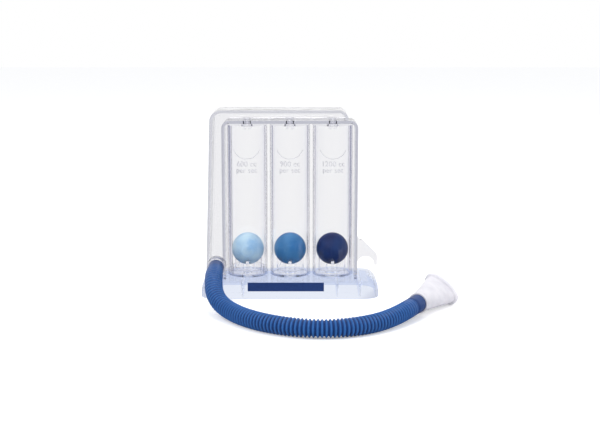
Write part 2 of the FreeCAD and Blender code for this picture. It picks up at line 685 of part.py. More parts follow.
def hose_tube(route):
    """The hose as a plain tube along its route."""
    path, radii = hose_path(route)
    start = route[0]
    heading = route[1] - start
    walls = [
        path.makePipeShell([Part.Wire(Part.makeCircle(value(name) / 2, start, heading))], True, False)
        for name in ("hose_outer", "hose_bore")
    ]
    item = doc.addObject("Part::Feature", "hose")
    item.Shape = walls[0].cut(walls[1])
    section = math.pi * (value("hose_outer") ** 2 - value("hose_bore") ** 2) / 4
    print(f"hose length {path.Length:.1f} mm, volume over section times length "
          f"{item.Shape.Volume / (section * path.Length):.5f}")
    print("hose radii", " ".join(f"{radius:.0f}" for radius in radii))
    return finish("hose_tube", item)


def along(direction, roll_degrees=0.0):
    """Turns local z to the direction, with local x level before the roll about that direction."""
    level = Vector(0, 0, 1).cross(direction).normalize()
    turn = Rotation(level, Vector(), direction, "ZXY")
    return turn.multiply(Rotation(Vector(0, 0, 1), roll_degrees))


def cuff(name, end, heading, length):
    """A plain end of the hose, from the hose's end along the heading."""
    bore, outside = "cuff_bore / 2", "cuff_outer / 2"
    item = turned(f"{name}_turned", ((bore, "0"), (outside, "0"), (outside, length), (bore, length)))
    item.Placement = Placement(end, along(heading))
    return finish(name, item)


def ellipse(name, width, height, z):
    item = doc.addObject("Part::Ellipse", name)
    bind(item, MajorRadius=f"({width}) / 2", MinorRadius=f"({height}) / 2")
    return put(item, z=z)


def loft(name, *sections):
    item = doc.addObject("Part::Loft", name)
    item.Sections = list(sections)
    item.Solid = True
    item.Ruled = False
    return item


def mouthpiece(end, heading):
    """Round socket that flares into a flat oval mouth with a rim for the lips."""
    socket = "cuff_outer + 2 * cuff_play"
    outside = f"{socket} + 2 * socket_wall"
    throat = "cuff_bore"
    flare_end, middle = "mouth_length - rim_thickness", "(socket_depth + mouth_length) / 2"
    solids = [
        cylinder("socket_outside", outside, "socket_depth"),
        loft("flare_outside", ellipse("flare_root", outside, outside, "socket_depth"),
             ellipse("flare_middle", f"({outside} + mouth_width) / 2 - mouth_waist",
                     f"({outside} + mouth_height) / 2", middle),
             ellipse("flare_mouth", "mouth_width", "mouth_height", "mouth_length")),
    ]
    rim = doc.addObject("Part::Extrusion", "lip_rim")
    rim.Base = ellipse("rim_face", "mouth_width + 2 * lip_flange", "mouth_height + 2 * lip_flange", flare_end)
    rim.DirMode = "Custom"
    rim.Dir = Vector(0, 0, 1)
    rim.Solid = True
    bind(rim, LengthFwd="rim_thickness")
    inside = [
        cylinder("socket_bore", socket, "socket_depth - socket_stop"),
        cylinder("throat", throat, "socket_depth"),
        loft("flare_inside", ellipse("passage_root", throat, throat, "socket_depth"),
             ellipse("passage_middle", f"({outside} + mouth_width) / 2 - mouth_waist - 2 * mouth_wall",
                     f"({outside} + mouth_height) / 2 - 2 * mouth_wall", middle),
             ellipse("passage_mouth", "mouth_width - 2 * mouth_wall", "mouth_height - 2 * mouth_wall",
                     "mouth_length")),
    ]
    item = cut("flared_mouthpiece", fuse("mouth_solid", *solids, rim), *inside)
    item.Placement = Placement(end + heading * value("cuff_neck"), along(heading, value("mouth_roll")))
    return finish("mouthpiece", item)


def build():
    """Makes every sub-part."""
    base_shell()
    body_frame()
    for name, side in WEBS:
        chamber_web(name, side)
    manifold_duct()
    manifold_back_cover()
    hose_port()
    label_strip()
    flow_ring()
    for name, side in CHAMBERS:
        chamber_tube(name, side)
        ball_seat(name, side)
        ball(name, side)
        ball_stop(name, side)
    route = hose_route()
    heading = (route[-1] - route[-2]).normalize()
    hose_tube(route)
    cuff("hose_cuff_port", route[0], (route[0] - route[1]).normalize(),
         "port_reach - port_stop + cuff_neck - end_play")
    cuff("hose_cuff_mouth", route[-1], heading, "socket_depth - socket_stop + cuff_neck - end_play")
    mouthpiece(route[-1], heading)


def check_document():
    """Stops if any object failed or any sub-part isn't a valid solid."""
    doc.recompute()
    failed = [item.Name for item in doc.Objects if {"Invalid", "Error"} & set(item.State)]
    if failed:
        raise RuntimeError(f"failed objects: {failed}")
    for name, item in parts.items():
        if item.Shape.isNull() or not item.Shape.isValid() or not item.Shape.Solids:
            raise RuntimeError(f"{name} is not a valid solid")


def write_parts():
    """Writes each sub-part under its own name."""
    os.makedirs("parts", exist_ok=True)
    for name, item in parts.items():
        item.Shape.exportStep(os.path.join("parts", f"{name}.step"))
        bounds = item.Shape.BoundBox
        print(f"{name}: {len(item.Shape.Solids)} solid, {item.Shape.Volume:.0f} mm3, "
              f"x {bounds.XMin:.1f} {bounds.XMax:.1f}, y {bounds.YMin:.1f} {bounds.YMax:.1f}, "
              f"z {bounds.ZMin:.1f} {bounds.ZMax:.1f}")


build()
check_document()
write_parts()
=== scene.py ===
import logging
import math
from dataclasses import dataclass
from enum import Enum

import bpy
import numpy as np
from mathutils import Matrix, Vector


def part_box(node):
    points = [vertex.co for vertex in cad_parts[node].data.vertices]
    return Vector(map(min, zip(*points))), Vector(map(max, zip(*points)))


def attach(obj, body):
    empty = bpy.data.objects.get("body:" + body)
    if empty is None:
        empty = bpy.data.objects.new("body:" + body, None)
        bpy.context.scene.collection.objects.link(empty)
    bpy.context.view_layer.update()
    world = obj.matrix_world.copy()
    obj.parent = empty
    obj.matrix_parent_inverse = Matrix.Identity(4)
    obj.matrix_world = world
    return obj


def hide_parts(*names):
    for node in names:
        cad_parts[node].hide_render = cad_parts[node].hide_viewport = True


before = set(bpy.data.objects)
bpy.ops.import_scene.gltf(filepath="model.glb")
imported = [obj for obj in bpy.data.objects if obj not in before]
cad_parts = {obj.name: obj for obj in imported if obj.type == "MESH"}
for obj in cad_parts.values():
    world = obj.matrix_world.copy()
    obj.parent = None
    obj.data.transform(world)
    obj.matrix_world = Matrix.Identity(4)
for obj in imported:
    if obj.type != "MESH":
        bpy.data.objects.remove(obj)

LOG = logging.getLogger("spirometer")
MM = 0.001
UP = (0.0, 0.0, 1.0)

Place = tuple[float, float, float]
Colour = tuple[float, float, float, float]


class Side(Enum):
    """The three ball chambers, from the duct's side to the clip's."""

    LEFT = "left"
    MIDDLE = "middle"
    RIGHT = "right"


class Seam(Enum):
    """How a grid of points closes: each row on itself, or the rows' row on itself as well."""

    ROUND = False
    TORUS = True


def grid_faces(rows: int, columns: int, seam: Seam) -> np.ndarray:
    """Quads of a grid of points stored row after row.

    The face at row r and column c joins (r, c), (r, c + 1), (r + 1, c + 1) and (r + 1, c). A closed
    direction counts on from its last line to its first.

    Args:
        rows: number of rows of points.
        columns: number of points in a row.
        seam: whether the last row joins the first, as every row's last point joins its first.

    Returns:
        An array of four point numbers per face.
    """
    r = np.arange(rows if seam.value else rows - 1)[:, None]
    c = np.arange(columns)[None, :]
    r_next, c_next = (r + 1) % rows, (c + 1) % columns
    corners = (r * columns + c, r * columns + c_next, r_next * columns + c_next, r_next * columns + c)
    return np.stack([np.broadcast_to(corner, (r.size, c.size)) for corner in corners], axis=-1).reshape(-1, 4)


def new_piece(name: str, points: np.ndarray, faces: np.ndarray) -> bpy.types.Object:
    """A smooth-shaded mesh object at the origin.

    Args:
        name: the piece's name.
        points: an array of places, any shape that ends in three numbers.
        faces: an array of point numbers, one row per face.

    Returns:
        The new object, linked to the scene.
    """
    mesh = bpy.data.meshes.new(name)
    mesh.from_pydata(points.reshape(-1, 3).tolist(), [], faces.tolist())
    mesh.polygons.foreach_set("use_smooth", np.ones(len(mesh.polygons), dtype=bool))
    mesh.validate()
    mesh.update()
    piece = bpy.data.objects.new(name, mesh)
    bpy.context.scene.collection.objects.link(piece)
    return piece


def set_point_value(piece: bpy.types.Object, name: str, values: np.ndarray) -> None:
    """Stores one number per point of a piece under a name that its material reads.

    Args:
        piece: a mesh object.
        name: the attribute's name.
        values: one number for each point.
    """
    layer = piece.data.attributes.new(name, "FLOAT", "POINT")
    layer.data.foreach_set("value", values.astype(np.float32).ravel())


def smooth_step(x: np.ndarray) -> np.ndarray:
    """3x^2 - 2x^3 with x held between 0 and 1."""
    x = np.clip(x, 0.0, 1.0)
    return x * x * (3.0 - 2.0 * x)


def unit(v: np.ndarray) -> np.ndarray:
    """Each vector divided by its length."""
    return v / np.linalg.norm(v, axis=-1, keepdims=True)


def cross_axes(heading: np.ndarray) -> tuple[np.ndarray, np.ndarray]:
    """The two directions square to each heading: the level one, and the one that points upward."""
    level = unit(np.cross(UP, heading))
    return level, np.cross(heading, level)


def spokes(heading: np.ndarray, columns: int) -> np.ndarray:
    """Directions round a heading, at angle a: cos a times the level side plus sin a times the upward one.

    Args:
        heading: one direction, or one for each row.
        columns: number of angles in the full turn.

    Returns:
        An array that ends in columns by three.
    """
    level, upward = cross_axes(heading)
    angle = np.linspace(0.0, 2.0 * math.pi, columns, endpoint=False)[:, None]
    return np.cos(angle) * level[..., None, :] + np.sin(angle) * upward[..., None, :]


class NodeSheet:
    """The node tree of a material or a world, filled by short calls."""

    def __init__(self, owner: bpy.types.Material | bpy.types.World) -> None:
        """Opens the tree with its first shader and its output.

        Args:
            owner: the material or world that the nodes belong to.
        """
        owner.use_nodes = True
        self.material = owner
        self.tree = owner.node_tree
        self.shader = self.tree.nodes.get("Principled BSDF") or self.tree.nodes["Background"]
        self.output = self.tree.nodes.get("Material Output") or self.tree.nodes["World Output"]

    @classmethod
    def of(cls, name: str) -> "NodeSheet":
        """A sheet for a new material of that name."""
        return cls(bpy.data.materials.new(name))

    def add(self, kind: str, inputs: dict | None = None, **settings: object) -> bpy.types.Node:
        """Adds a node.

        Args:
            kind: the node's type name.
            inputs: a value or a source socket for each named or numbered input.
            settings: the node's own properties.

        Returns:
            The new node.
        """
        made = self.tree.nodes.new(kind)
        for key, setting in settings.items():
            setattr(made, key, setting)
        self.feed(made, inputs or {})
        return made

    def feed(self, node: bpy.types.Node, inputs: dict) -> None:
        """Sets or links a node's inputs.

        Args:
            node: the node that receives them.
            inputs: a value or a source socket for each named or numbered input.
        """
        for key, given in inputs.items():
            if isinstance(given, bpy.types.NodeSocket):
                self.tree.links.new(given, node.inputs[key])
            else:
                node.inputs[key].default_value = given

    def place(self, centre: Place = (0.0, 0.0, 0.0)) -> bpy.types.NodeSocket:
        """The object's own coordinates in metres, measured from a centre.

        Args:
            centre: the point that becomes zero.

        Returns:
            The vector socket.
        """
        coordinates = self.add("ShaderNodeTexCoord")
        moved = self.add("ShaderNodeMapping", {"Vector": coordinates.outputs["Object"],
                                               "Location": tuple(-v for v in centre)})
        return moved.outputs["Vector"]

    def number(self, operation: str, first: object, second: object = 0.0) -> bpy.types.NodeSocket:
        """A sum, product or other result of two numbers.

        Args:
            operation: the Math node's operation.
            first: a number or a socket.
            second: a number or a socket.

        Returns:
            The result socket.
        """
        return self.add("ShaderNodeMath", {0: first, 1: second}, operation=operation).outputs[0]

    def mix(self, share: object, first: bpy.types.NodeSocket,
            second: bpy.types.NodeSocket) -> bpy.types.NodeSocket:
        """A shader between two.

        Args:
            share: 0 for the first, 1 for the second.
            first: a shader.
            second: a shader.

        Returns:
            The shader socket.
        """
        return self.add("ShaderNodeMixShader", {0: share, 1: first, 2: second}).outputs[0]

    def show(self, surface: bpy.types.NodeSocket) -> None:
        """Leads a shader to the output."""
        self.tree.links.new(surface, self.output.inputs["Surface"])

    def noise(self, vector: bpy.types.NodeSocket, scale: float, detail: float = 2.0,
              roughness: float = 0.5) -> bpy.types.NodeSocket:
        """Soft noise between 0 and 1.

        Args:
            vector: where it is read.
            scale: cycles per metre.
            detail: octaves.
            roughness: share of the finer octaves.

        Returns:
            The value socket.
        """
        made = self.add("ShaderNodeTexNoise", {"Vector": vector, "Scale": scale, "Detail": detail,
                                               "Roughness": roughness})
        return made.outputs["Fac"]

    def ramp(self, source: bpy.types.NodeSocket, low: float, high: float, to_low: float,
             to_high: float) -> bpy.types.NodeSocket:
        """A value moved in a straight line from one range to another, and held at its ends.

        Args:
            source: the value.
            low: where the line starts.
            high: where it ends.
            to_low: the result at its start.
            to_high: the result at its end.

        Returns:
            The result socket.
        """
        made = self.add("ShaderNodeMapRange", {"Value": source, "From Min": low, "From Max": high,
                                               "To Min": to_low, "To Max": to_high})
        return made.outputs["Result"]

    def blend(self, share: bpy.types.NodeSocket, first: object, second: object) -> bpy.types.NodeSocket:
        """A colour between two.

        Args:
            share: 0 for the first, 1 for the second.
            first: a colour, or a socket that gives one.
            second: a colour, or a socket that gives one.

        Returns:
            The colour socket.
        """
        made = self.add("ShaderNodeMix", data_type="RGBA")
        self.feed(made, {0: share, 6: first, 7: second})
        return made.outputs[2]

    def brighten(self, colour: bpy.types.NodeSocket, value: bpy.types.NodeSocket) -> bpy.types.NodeSocket:
        """A colour whose brightness is multiplied.

        Args:
            colour: the colour.
            value: what its brightness is multiplied by.

        Returns:
            The colour socket.
        """
        return self.add("ShaderNodeHueSaturation", {"Color": colour, "Value": value}).outputs["Color"]

    def bump(self, height: bpy.types.NodeSocket, strength: float, distance: float) -> None:
        """Leads a height into the shader's normal.

        Args:
            height: the height, 0 to 1.
            strength: share of the effect.
            distance: the height in metres that 1 stands for.
        """
        made = self.add("ShaderNodeBump", {"Height": height, "Strength": strength, "Distance": distance})
        self.feed(self.shader, {"Normal": made.outputs["Normal"]})


@dataclass(frozen=True)
class ClearPlastic:
    """Clear moulded polystyrene: a faint tint in thin walls, lavender where the sight runs along them.

    Lamps shine through it, so that what stands inside is lit.
    """

    name: str
    face: Colour = (0.985, 0.984, 0.990, 1.0)
    edge: Colour = (0.94, 0.94, 0.97, 1.0)
    passed: Colour = (0.36, 0.38, 0.50, 1.0)
    depth: float = 42.0
    facing: float = 0.30
    roughness: float = 0.03
    ripple: float = 0.12
    ior: float = 1.40
    coat: float = 0.0

    def material(self) -> bpy.types.Material:
        """Builds the material.

        Returns:
            The finished material.
        """
        sheet = NodeSheet.of(self.name)
        where = sheet.place()
        weight = sheet.add("ShaderNodeLayerWeight", {"Blend": self.facing})
        tint = sheet.blend(weight.outputs["Facing"], self.face, self.edge)
        flow = sheet.noise(where, 55.0, 2.0)
        polish = sheet.ramp(sheet.noise(where, 900.0, 3.0), 0.35, 0.75, self.roughness, self.roughness + 0.05)
        sheet.feed(sheet.shader, {"Base Color": tint, "Roughness": polish, "IOR": self.ior,
                                  "Transmission Weight": 1.0, "Coat Weight": self.coat})
        sheet.bump(flow, self.ripple, 0.002)
        rays = sheet.add("ShaderNodeLightPath")
        lamplight = sheet.add("ShaderNodeBsdfTransparent", {"Color": self.face})
        sheet.show(sheet.mix(rays.outputs["Is Shadow Ray"], sheet.shader.outputs[0], lamplight.outputs[0]))
        body = sheet.add("ShaderNodeVolumeAbsorption", {"Color": self.passed, "Density": self.depth})
        sheet.tree.links.new(body.outputs["Volume"], sheet.output.inputs["Volume"])
        return sheet.material


@dataclass(frozen=True)
class FrostedPlastic:
    """The clear plastic where the mould was etched: it scatters what is behind it into a soft grey."""

    name: str
    pale: Colour = (0.86, 0.86, 0.90, 1.0)
    grey: Colour = (0.78, 0.78, 0.83, 1.0)
    passing: float = 0.88

    def material(self) -> bpy.types.Material:
        """Builds the material.

        Returns:
            The finished material.
        """
        sheet = NodeSheet.of(self.name)
        grain = sheet.ramp(sheet.noise(sheet.place(), 1600.0, 3.0), 0.35, 0.70, 0.0, 1.0)
        sheet.feed(sheet.shader, {"Base Color": sheet.blend(grain, self.pale, self.grey),
                                  "Roughness": sheet.ramp(grain, 0.0, 1.0, 0.40, 0.60), "IOR": 1.3,
                                  "Transmission Weight": self.passing})
        sheet.bump(grain, 0.2, 0.00004)
        return sheet.material


@dataclass(frozen=True)
class BallPlastic:
    """Satin blow-moulded plastic with a gate ring on the ball's front and cloudy colour."""

    name: str
    light: Colour
    deep: Colour
    centre: Place
    ring_radius: float = 4.3 * MM
    ring_width: float = 0.45 * MM
    front_fade: float = 2.0 * MM

    def material(self) -> bpy.types.Material:
        """Builds the material.

        Returns:
            The finished material.
        """
        sheet = NodeSheet.of(self.name)
        where = sheet.place(self.centre)
        split = sheet.add("ShaderNodeSeparateXYZ", {"Vector": where})
        across = sheet.add("ShaderNodeCombineXYZ", {"X": split.outputs["X"], "Z": split.outputs["Z"]})
        radius = sheet.add("ShaderNodeVectorMath", {0: across.outputs["Vector"]}, operation="LENGTH")
        away = sheet.number("ABSOLUTE", sheet.number("SUBTRACT", radius.outputs["Value"], self.ring_radius))
        ring = sheet.ramp(away, 0.0, self.ring_width, 1.0, 0.0)
        in_front = sheet.ramp(split.outputs["Y"], -self.front_fade, self.front_fade, 1.0, 0.0)
        mark = sheet.number("MULTIPLY", ring, in_front)
        cloud = sheet.ramp(sheet.noise(where, 60.0, 3.0, 0.6), 0.35, 0.65, 0.0, 1.0)
        colour = sheet.blend(cloud, self.light, self.deep)
        ringed = sheet.brighten(colour, sheet.ramp(mark, 0.0, 1.0, 1.0, 1.15))
        polish = sheet.ramp(sheet.noise(where, 1500.0, 2.0), 0.3, 0.7, 0.40, 0.52)
        sheet.feed(sheet.shader, {"Base Color": ringed, "Roughness": polish, "Specular IOR Level": 0.10})
        sheet.bump(mark, 0.6, 0.00015)
        return sheet.material


@dataclass(frozen=True)
class HosePlastic:
    """Soft blue polyethylene with painted light in its colour: painted shade in the rib valleys, a painted
    highlight along the crests.
    """

    name: str
    # painted highlight colour for the rib crests, painted shade colour for the valleys between them
    crest: Colour = (0.028, 0.122, 0.370, 1.0)
    valley: Colour = (0.006, 0.030, 0.135, 1.0)
    attribute: str = "crest"

    def material(self) -> bpy.types.Material:
        """Builds the material.

        Returns:
            The finished material.
        """
        sheet = NodeSheet.of(self.name)
        where = sheet.place()
        height = sheet.add("ShaderNodeAttribute", attribute_name=self.attribute)
        rib = sheet.ramp(height.outputs["Fac"], 0.05, 0.75, 0.0, 1.0)
        # painted light: the rib height blends the valleys' painted shade colour into the crests' painted
        # highlight colour
        colour = sheet.blend(rib, self.valley, self.crest)
        cloud = sheet.noise(where, 260.0, 3.0)
        worn = sheet.brighten(colour, sheet.ramp(cloud, 0.3, 0.7, 0.93, 1.08))
        polish = sheet.ramp(sheet.noise(where, 2200.0, 2.0), 0.3, 0.7, 0.34, 0.46)
        sheet.feed(sheet.shader, {"Base Color": worn, "Roughness": polish, "Specular IOR Level": 0.25})
        sheet.bump(sheet.noise(where, 3200.0, 2.0), 0.25, 0.00005)
        return sheet.material


@dataclass(frozen=True)
class MilkyPlastic:
    """Milky polypropylene that lets soft light through, slightly cloudy, with a satin skin."""

    name: str
    pale: Colour = (0.80, 0.785, 0.83, 1.0)
    grey: Colour = (0.68, 0.665, 0.72, 1.0)
    passing: float = 0.10

    def material(self) -> bpy.types.Material:
        """Builds the material.

        Returns:
            The finished material.
        """
        sheet = NodeSheet.of(self.name)
        where = sheet.place()
        cloud = sheet.ramp(sheet.noise(where, 120.0, 3.0, 0.6), 0.3, 0.7, 0.0, 1.0)
        colour = sheet.blend(cloud, self.pale, self.grey)
        polish = sheet.ramp(sheet.noise(where, 1400.0, 2.0), 0.3, 0.7, 0.30, 0.42)
        sheet.feed(sheet.shader, {"Base Color": colour, "Roughness": polish,
                                  "Transmission Weight": self.passing, "IOR": 1.45,
                                  "Subsurface Weight": 0.3, "Subsurface Scale": 0.004,
                                  "Subsurface Radius": (1.0, 1.0, 1.0)})
        sheet.bump(sheet.noise(where, 2600.0, 2.0), 0.2, 0.00005)
        return sheet.material


@dataclass(frozen=True)
class PrintedFilm:
    """Printed film: deep ink with a fine press grain under a satin laminate."""

    name: str
    ink: Colour = (0.009, 0.030, 0.130, 1.0)
    thin: Colour = (0.014, 0.044, 0.175, 1.0)

    def material(self) -> bpy.types.Material:
        """Builds the material.

        Returns:
            The finished material.
        """
        sheet = NodeSheet.of(self.name)
        where = sheet.place()
        grain = sheet.ramp(sheet.noise(where, 1800.0, 3.0), 0.35, 0.70, 0.0, 1.0)
        sheet.feed(sheet.shader, {"Base Color": sheet.blend(grain, self.ink, self.thin),
                                  "Roughness": sheet.ramp(grain, 0.0, 1.0, 0.38, 0.5),
                                  "Specular IOR Level": 0.2})
        sheet.bump(grain, 0.15, 0.00004)
        return sheet.material


@dataclass
class Hose:
    """Corrugated hose that lies on the table in one bend, from the port round to the mouthpiece.

    The route repeats the part's own: a level run out of the port, then plan distances from the first
    rib and heights above the table.
    """

    start: Place = (-0.0575, -0.0320, 0.0238)
    lead: float = 0.0115
    route: tuple[Place, ...] = (
        (0.0003, -0.0240, 0.0206),
        (0.0017, -0.0355, 0.0150),
        (0.0069, -0.0475, 0.0099),
        (0.0157, -0.0604, 0.0073),
        (0.0263, -0.0755, 0.0069),
        (0.0411, -0.0906, 0.0069),
        (0.0605, -0.1018, 0.0069),
        (0.0820, -0.1060, 0.0069),
        (0.1035, -0.1010, 0.0069),
        (0.1220, -0.0880, 0.0069),
        (0.1373, -0.0702, 0.0081),
        (0.1458, -0.0555, 0.00895),
    )
    length: float = 0.2347
    crest_radius: float = 6.8 * MM
    port_radius: float = 6.2 * MM
    mouth_radius: float = 6.75 * MM
    bore_radius: float = 4.8 * MM
    port_taper: float = 12.0 * MM
    mouth_taper: float = 6.0 * MM
    end_lip: float = 1.5 * MM
    rib_depth: float = 1.45 * MM
    rib_pitch: float = 2.86 * MM
    rib_power: float = 1.6
    faint_depth: float = 0.15
    faint_value: float = 0.6
    port_plain: float = 16.0 * MM
    port_fade: float = 56.0 * MM
    mouth_plain: float = 3.0 * MM
    mouth_fade: float = 16.0 * MM
    steps_per_rib: int = 12
    bore_rings: int = 120
    glance: float = 0.8 * MM
    columns: int = 44
    # the plain ends' fixed value on the painted light scale: a small share of the crests' painted highlight
    # colour, the rest the valleys' painted shade colour
    cuff_value: float = 0.15

    def control_points(self) -> np.ndarray:
        """The route's points in place, in metres.

        Returns:
            An array of points.
        """
        first = np.array(self.start)
        foot = first * (1.0, 1.0, 0.0)
        return np.vstack([first, first - (0.0, self.lead, 0.0), foot + np.array(self.route)])

    def centreline(self) -> np.ndarray:
        """Points read from the NURBS curve whose control points are the route.

        Returns:
            An array of points, close together.
        """
        points = self.control_points()
        curve = bpy.data.curves.new("hose_line", "CURVE")
        curve.dimensions = "3D"
        curve.resolution_u = 24
        spline = curve.splines.new("NURBS")
        spline.points.add(len(points) - 1)
        spline.points.foreach_set("co", np.column_stack([points, np.ones(len(points))]).ravel())
        spline.order_u = 3
        spline.use_endpoint_u = True
        holder = bpy.data.objects.new("hose_line", curve)
        bpy.context.scene.collection.objects.link(holder)
        bpy.context.view_layer.update()
        mesh = bpy.data.meshes.new_from_object(holder)
        line = np.empty(3 * len(mesh.vertices))
        mesh.vertices.foreach_get("co", line)
        bpy.data.objects.remove(holder)
        bpy.data.curves.remove(curve)
        bpy.data.meshes.remove(mesh)
        return line.reshape(-1, 3)

    def rings(self, line: np.ndarray, along: np.ndarray, radii: np.ndarray) -> np.ndarray:
        """Rings of points square to the line.

        A point at distance s along the line and angle a is the line's point plus r(s) times the spoke
        at angle a. The line's heading is read between two points a glance ahead and behind.

        Args:
            line: the centreline's points.
            along: distances s at which the rings stand.
            radii: each ring's radius r.

        Returns:
            An array of rings by columns by three.
        """
        run = np.concatenate([[0.0], np.cumsum(np.linalg.norm(np.diff(line, axis=0), axis=1))])
        centres, ahead, behind = (
            np.stack([np.interp(along + shift, run, line[:, k]) for k in range(3)], axis=-1)
            for shift in (0.0, self.glance, -self.glance)
        )
        return centres[:, None] + radii[:, None, None] * spokes(unit(ahead - behind), self.columns)

    def rib_share(self, away: np.ndarray, plain: float, fade: float) -> np.ndarray:
        """Share of the ribs' full depth near one end of the hose.

        Args:
            away: distances from that end.
            plain: where the ribs begin to grow.
            fade: the length over which they grow.

        Returns:
            The faint share up to there, then a smooth step to 1.
        """
        return self.faint_depth + (1.0 - self.faint_depth) * smooth_step((away - plain) / fade)

    def build(self) -> bpy.types.Object:
        """The corrugated tube, closed by rings at its ends and a smooth bore.

        The outer radius at distance s is the rib-top line less the rib depth times a dip. The rib-top line
        rises from the radius at the port to the full radius of the crests and ends in the radius at the
        mouth, and the dip is sin(pi s / pitch) raised to the rib power. Its depth grows slowly from the port
        and quickly from the mouth. Each point also gets the value that the colour reads for painted light: 1
        on a rib's top, for the painted highlight, and 0 in the full-depth valleys, for the painted shade. It
        goes to a middle value where the ribs are faint.

        Returns:
            The hose.
        """
        line = self.centreline()
        total = float(np.linalg.norm(np.diff(line, axis=0), axis=1).sum())
        ribs = round(total / self.rib_pitch)
        outer_at = np.linspace(0.0, total, ribs * self.steps_per_rib + 1)
        to_mouth = total - outer_at
        at_port = (self.crest_radius - self.port_radius) * smooth_step(1.0 - outer_at / self.port_taper)
        at_mouth = (self.crest_radius - self.mouth_radius) * smooth_step(1.0 - to_mouth / self.mouth_taper)
        crest_line = self.crest_radius - at_port - at_mouth
        dip = np.abs(np.sin(math.pi * outer_at * ribs / total)) ** self.rib_power
        depth = self.rib_depth * self.rib_share(outer_at, self.port_plain, self.port_fade)
        depth *= self.rib_share(to_mouth, self.mouth_plain, self.mouth_fade)
        depth *= smooth_step(outer_at / self.end_lip) * smooth_step(to_mouth / self.end_lip)
        inner_at = np.linspace(total, 0.0, self.bore_rings)
        rows = np.vstack([
            self.rings(line, outer_at, crest_line - depth * dip),
            self.rings(line, inner_at, np.full(inner_at.size, self.bore_radius)),
        ])
        piece = new_piece("hose_corrugated", rows, grid_faces(len(rows), self.columns, Seam.TORUS))
        # painted light per point: 1 gives a rib's top the painted highlight colour, 0 gives the deepest
        # valleys and the bore the painted shade colour
        faint = self.faint_value * (self.rib_depth - depth)
        crest = np.concatenate([1.0 - (depth * dip + faint) / self.rib_depth, np.zeros(inner_at.size)])
        set_point_value(piece, "crest", np.repeat(crest, self.columns))
        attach(piece, "hose")
        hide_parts("hose_tube")
        self.declare(total)
        LOG.info("hose: %d ribs over %.1f mm", ribs, total / MM)
        return piece

    def declare(self, total: float) -> None:
        """Logs the hose's stated length beside the length of its drawn centreline.

        Args:
            total: the centreline's length.
        """
        LOG.info("hose: stated length %.4f, drawn %.4f", self.length, total)

    def dress(self, piece: bpy.types.Object) -> None:
        """Gives the hose and its two plain ends their plastic. The plain ends get one low value on its
        painted light scale, so their colour is close to the valleys' painted shade colour.

        Args:
            piece: the hose.
        """
        finish = HosePlastic("hose_blue").material()
        for part in (piece, bpy.data.objects["cuff_smooth"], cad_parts["hose_cuff_port"]):
            part.data.materials.clear()
            part.data.materials.append(finish)
        # painted light: the plain ends take one fixed value, mostly the valleys' painted shade colour
        for cuff in (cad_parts["hose_cuff_port"], bpy.data.objects["cuff_smooth"]):
            set_point_value(cuff, "crest", np.full(len(cuff.data.vertices), self.cuff_value))


@dataclass(frozen=True)
class HoseEnd:
    """Where the hose's ribs end and how far its plain neck runs on, as the part's own route has it."""

    root: Place = (0.0883, -0.0875, 0.00895)
    heading: Place = (8.5, 14.7, 0.85)
    neck: float = 13.0 * MM

    def axis(self) -> np.ndarray:
        """The direction from the ribs' end to the mouth."""
        return unit(np.array(self.heading))

    def socket_mouth(self) -> np.ndarray:
        """The place where the neck enters the mouthpiece."""
        return np.array(self.root) + self.axis() * self.neck


@dataclass
class Cuff:
    """Plain end of the hose at the mouthpiece: as wide as the ribs, narrower where it is pushed in."""

    seat: HoseEnd = HoseEnd()
    pushed_in: float = 10.5 * MM
    outside: float = 6.75 * MM
    inside: float = 6.1 * MM
    bore: float = 4.7 * MM
    clear: float = 0.1 * MM
    edge: float = 0.35 * MM
    edge_drop: float = 0.12 * MM
    spacing: float = 4.0 * MM
    lead: float = 3.0 * MM
    columns: int = 64

    def profile(self) -> np.ndarray:
        """Distances from the root and radii, once round the wall's section.

        They run out along the outside to a small round before the shoulder, step down to the part that
        is pushed in, and return along the bore.

        Returns:
            An array of distance and radius.
        """
        neck = self.seat.neck
        shoulder, end = neck - self.clear, neck + self.pushed_in
        return np.array([
            (0.0, self.bore),
            (0.0, self.outside - self.edge),
            (self.clear, self.outside),
            (self.spacing, self.outside),
            (2.0 * self.spacing, self.outside),
            (shoulder - self.edge, self.outside),
            (shoulder - self.clear, self.outside - self.edge_drop),
            (shoulder, self.outside - self.edge),
            (shoulder, self.inside),
            (shoulder + self.lead, self.inside),
            (end - self.edge, self.inside),
            (end, self.inside - self.edge),
            (end, self.bore),
            (neck, self.bore),
        ])

    def build(self) -> bpy.types.Object:
        """The cuff's closed wall: its profile turned about its axis.

        Returns:
            The cuff.
        """
        profile = self.profile()
        axis = self.seat.axis()
        round_it = spokes(axis, self.columns)
        points = np.array(self.seat.root) + profile[:, :1, None] * axis + profile[:, 1:, None] * round_it
        piece = new_piece("cuff_smooth", points, grid_faces(len(profile), self.columns, Seam.TORUS))
        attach(piece, "hose")
        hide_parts("hose_cuff_mouth")
        LOG.info("cuff: %.1f mm plain, %.1f mm pushed in", self.seat.neck / MM, self.pushed_in / MM)
        return piece


